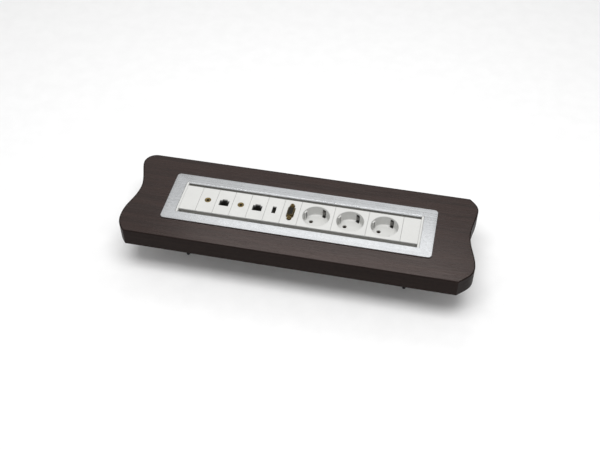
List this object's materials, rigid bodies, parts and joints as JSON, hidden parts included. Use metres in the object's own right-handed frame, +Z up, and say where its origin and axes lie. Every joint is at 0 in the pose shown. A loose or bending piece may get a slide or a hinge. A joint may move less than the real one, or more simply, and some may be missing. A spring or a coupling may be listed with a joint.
{
  "type": "inset desk power strip",
  "caption": "Aluminium-framed strip of power, network, audio, USB and video outlets, clamped flush in a waved dark wood board with screw clamps underneath.",
  "frame": {"origin": "centre of the board in plan, on the plane of the stud tips that it stands on", "axes": "+X along the strip, from the blank and jacks towards the mains sockets; +Y away from the operator; +Z up"},
  "size_m": [0.516, 0.164, 0.0867],
  "materials": {
    "wenge_board": "dark wenge grain, satin",
    "brushed_aluminium": "brushed along its length",
    "white_plastic": "fine satin",
    "black_plastic": "satin",
    "gilt_brass": "dull gilt",
    "contact_metal": "bright stamped",
    "plated_steel": "zinc plated",
    "foam": "matt closed-cell foam"
  },
  "bodies": {
    "root": {"audio_jack_1": "gilt_brass", "audio_jack_2": "gilt_brass", "audio_plate_1": "white_plastic", "audio_plate_2": "white_plastic", "blank_plate_left": "white_plastic", "blank_plate_right": "white_plastic", "board_core": "wenge_board", "cap_screw_1": "plated_steel", "cap_screw_2": "plated_steel", "cap_screw_3": "plated_steel", "cap_screw_4": "plated_steel", "data_jack_1": "black_plastic", "data_jack_2": "black_plastic", "data_plate_1": "white_plastic", "data_plate_2": "white_plastic", "divider": "white_plastic", "earth_rail": "contact_metal", "edge_band": "wenge_board", "end_cap_left": "white_plastic", "end_cap_right": "white_plastic", "frame_gasket": "foam", "frame_screw_1": "plated_steel", "frame_screw_2": "plated_steel", "frame_screw_3": "plated_steel", "frame_screw_4": "plated_steel", "live_rail": "contact_metal", "mains_inlet": "black_plastic", "mounting_stud_1": "plated_steel", "mounting_stud_2": "plated_steel", "mounting_stud_3": "plated_steel", "mounting_stud_4": "plated_steel", "neutral_rail": "contact_metal", "socket_base_1": "white_plastic", "socket_base_2": "white_plastic", "socket_base_3": "white_plastic", "socket_insert_1": "white_plastic", "socket_insert_2": "white_plastic", "socket_insert_3": "white_plastic", "strip_profile": "brushed_aluminium", "top_frame": "brushed_aluminium", "usb_plate": "white_plastic", "usb_port": "black_plastic", "video_connector": "gilt_brass", "video_plate": "white_plastic", "video_standoff_1": "gilt_brass", "video_standoff_2": "gilt_brass"},
    "bracket_1": {"clamp_bracket_1": "plated_steel"},
    "nut_1": {"clamp_nut_1": "plated_steel"},
    "bracket_2": {"clamp_bracket_2": "plated_steel"},
    "nut_2": {"clamp_nut_2": "plated_steel"},
    "bracket_3": {"clamp_bracket_3": "plated_steel"},
    "nut_3": {"clamp_nut_3": "plated_steel"},
    "bracket_4": {"clamp_bracket_4": "plated_steel"},
    "nut_4": {"clamp_nut_4": "plated_steel"}
  },
  "joints": [
    {"name": "bracket_slide_1", "type": "slide", "parent": "root", "child": "bracket_1", "axis": [0, 0, -1], "range_m": [0, 0.043]},
    {"name": "nut_spin_1", "type": "hinge", "parent": "bracket_1", "child": "nut_1", "pos_m": [-0.164, -0.0385, 0.048], "axis": [0, 0, -1], "range_deg": [0, 19350]},
    {"name": "bracket_slide_2", "type": "slide", "parent": "root", "child": "bracket_2", "axis": [0, 0, -1], "range_m": [0, 0.043]},
    {"name": "nut_spin_2", "type": "hinge", "parent": "bracket_2", "child": "nut_2", "pos_m": [0.164, -0.0385, 0.048], "axis": [0, 0, -1], "range_deg": [0, 19350]},
    {"name": "bracket_slide_3", "type": "slide", "parent": "root", "child": "bracket_3", "axis": [0, 0, -1], "range_m": [0, 0.043]},
    {"name": "nut_spin_3", "type": "hinge", "parent": "bracket_3", "child": "nut_3", "pos_m": [0.164, 0.0385, 0.048], "axis": [0, 0, -1], "range_deg": [0, 19350]},
    {"name": "bracket_slide_4", "type": "slide", "parent": "root", "child": "bracket_4", "axis": [0, 0, -1], "range_m": [0, 0.043]},
    {"name": "nut_spin_4", "type": "hinge", "parent": "bracket_4", "child": "nut_4", "pos_m": [-0.164, 0.0385, 0.048], "axis": [0, 0, -1], "range_deg": [0, 19350]}
  ],
  "couplings": [
    {"joint": "nut_spin_1", "follows": "bracket_slide_1", "rad_per_m": 7854},
    {"joint": "nut_spin_2", "follows": "bracket_slide_2", "rad_per_m": 7854},
    {"joint": "nut_spin_3", "follows": "bracket_slide_3", "rad_per_m": 7854},
    {"joint": "nut_spin_4", "follows": "bracket_slide_4", "rad_per_m": 7854}
  ]
}
